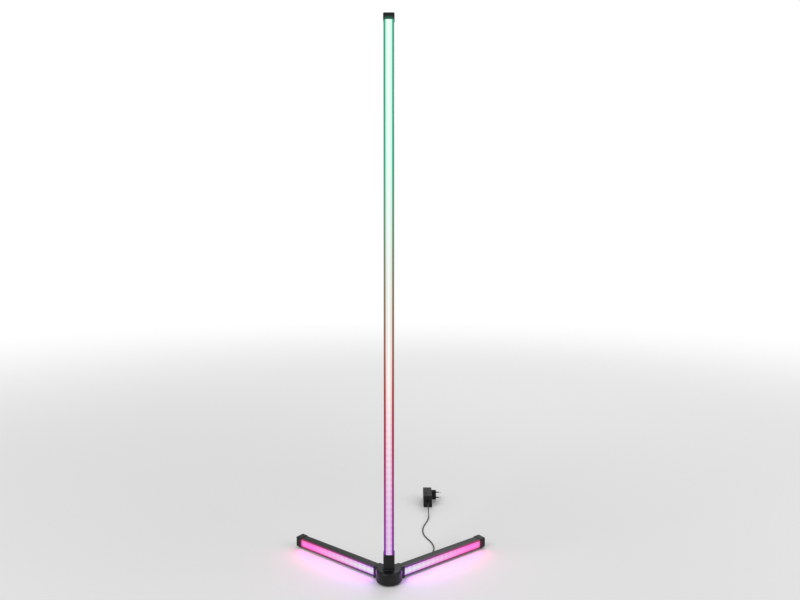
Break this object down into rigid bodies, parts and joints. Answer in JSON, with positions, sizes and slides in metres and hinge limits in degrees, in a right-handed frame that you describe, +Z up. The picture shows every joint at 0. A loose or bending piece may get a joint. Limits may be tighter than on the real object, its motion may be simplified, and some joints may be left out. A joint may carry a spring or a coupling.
{
  "type": "floor lamp",
  "caption": "Slim corner floor lamp: a black channel pole and low base legs in a V, each with a milky light strip, standing on a rounded hub, with a cord and plug-in adapter.",
  "frame": {"origin": "centre of the rubber pad under the hub, on the floor, straight below the pole's axis", "axes": "+Z up along the pole, -Y to the front that the pole's light strip faces, +X to the right as seen from the front"},
  "size_m": [0.5714, 0.624, 1.5],
  "materials": {
    "black_moulding": "satin black moulded, fine grain",
    "black_extrusion": "black anodised, satin",
    "milky_diffuser": "translucent opal, extruded",
    "tape_film": "white flexible circuit",
    "light_package": "clear over yellow",
    "circuit_board": "solder-masked fibreglass",
    "board_parts": "moulded packages",
    "bare_steel": "zinc plated",
    "screw_steel": "black oxide",
    "cast_weight": "as cast",
    "soft_rubber": "matt",
    "button_cap": "smooth",
    "switch_parts": "moulded",
    "white_lead": "ribbon",
    "red_lead": "ribbon",
    "cord_jacket": "smooth PVC",
    "tie_weave": "woven hook and loop",
    "plug_metal": "nickel plated"
  },
  "bodies": {
    "lamp": {"hub_housing": "black_moulding", "hub_base_plate": "bare_steel", "hub_pad": "soft_rubber", "hub_bracket": "cast_weight", "ballast": "cast_weight", "control_board": "circuit_board", "board_components": "board_parts", "board_screws": "bare_steel", "base_screws": "bare_steel", "switch_board": "circuit_board", "switch_body": "switch_parts", "inlet": "black_moulding", "inlet_nut": "bare_steel", "inlet_lead": "red_lead", "pole_lead": "white_lead", "left_lead": "white_lead", "right_lead": "white_lead", "pole_lower_section": "black_extrusion", "pole_middle_section": "black_extrusion", "pole_upper_section": "black_extrusion", "pole_lower_joiner": "bare_steel", "pole_upper_joiner": "bare_steel", "joiner_screws": "screw_steel", "pole_screws": "screw_steel", "pole_diffuser": "milky_diffuser", "pole_tape": "tape_film", "pole_leds": "light_package", "pole_cap": "black_moulding", "left_leg": "black_extrusion", "right_leg": "black_extrusion", "left_diffuser": "milky_diffuser", "right_diffuser": "milky_diffuser", "left_tape": "tape_film", "right_tape": "tape_film", "left_leds": "light_package", "right_leds": "light_package", "left_cap": "black_moulding", "right_cap": "black_moulding", "left_foot": "soft_rubber", "right_foot": "soft_rubber", "leg_screws": "screw_steel", "cord_plug": "black_moulding", "plug_barrel": "plug_metal", "cord_plug_relief": "cord_jacket", "cord_lead_in": "cord_jacket", "cord_hank": "cord_jacket", "hank_tie": "tie_weave", "cord_run": "cord_jacket", "adapter_relief": "cord_jacket", "adapter_front_shell": "black_moulding", "adapter_rear_shell": "black_moulding", "adapter_plug_block": "black_moulding", "adapter_pins": "plug_metal"},
    "push_button": {"power_button": "button_cap", "switch_plunger": "switch_parts"}
  },
  "joints": [
    {"name": "button_press", "type": "slide", "parent": "lamp", "child": "push_button", "axis": [0, 0, -1], "range_m": [0, 0.0008], "stiffness_N_per_m": 400, "springref_m": -0.002}
  ]
}
